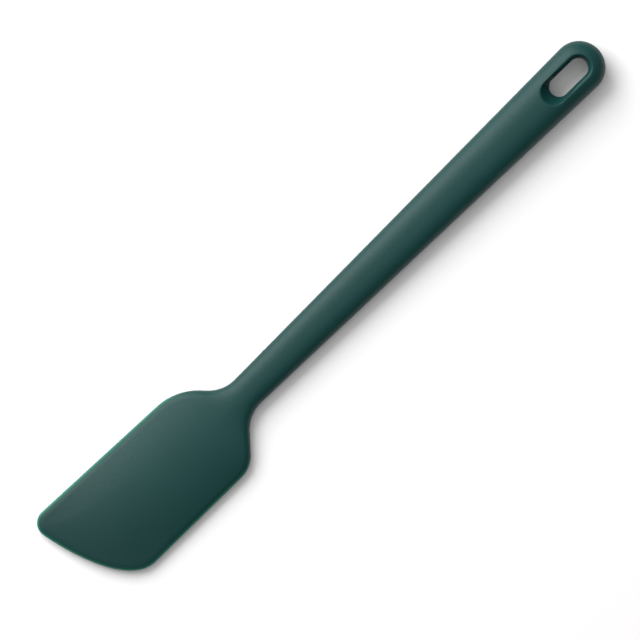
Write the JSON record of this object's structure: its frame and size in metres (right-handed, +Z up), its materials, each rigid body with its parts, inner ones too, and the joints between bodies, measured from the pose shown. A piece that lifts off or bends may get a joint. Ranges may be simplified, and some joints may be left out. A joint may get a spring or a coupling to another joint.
{
  "type": "silicone scraper spatula",
  "caption": "Long one-piece silicone scraper with a slanted flexible blade, an oval tapering handle and a flared hanging slot.",
  "frame": {"origin": "centre of the bounding box in plan, on the flat surface that the tool lies on", "axes": "+X along the tool from the blade tip to the hanging end, +Y across it to the blade's long slanted corner, +Z up from the surface it lies on"},
  "size_m": [0.29, 0.0452, 0.013],
  "materials": {
    "silicone": "satin moulded silicone, dark green",
    "nylon": "glass-filled nylon, matt black",
    "spring_steel": "rolled stainless spring steel"
  },
  "bodies": {
    "root": {"silicone_body": "silicone", "handle_core": "nylon", "blade_insert": "spring_steel"}
  },
  "joints": []
}
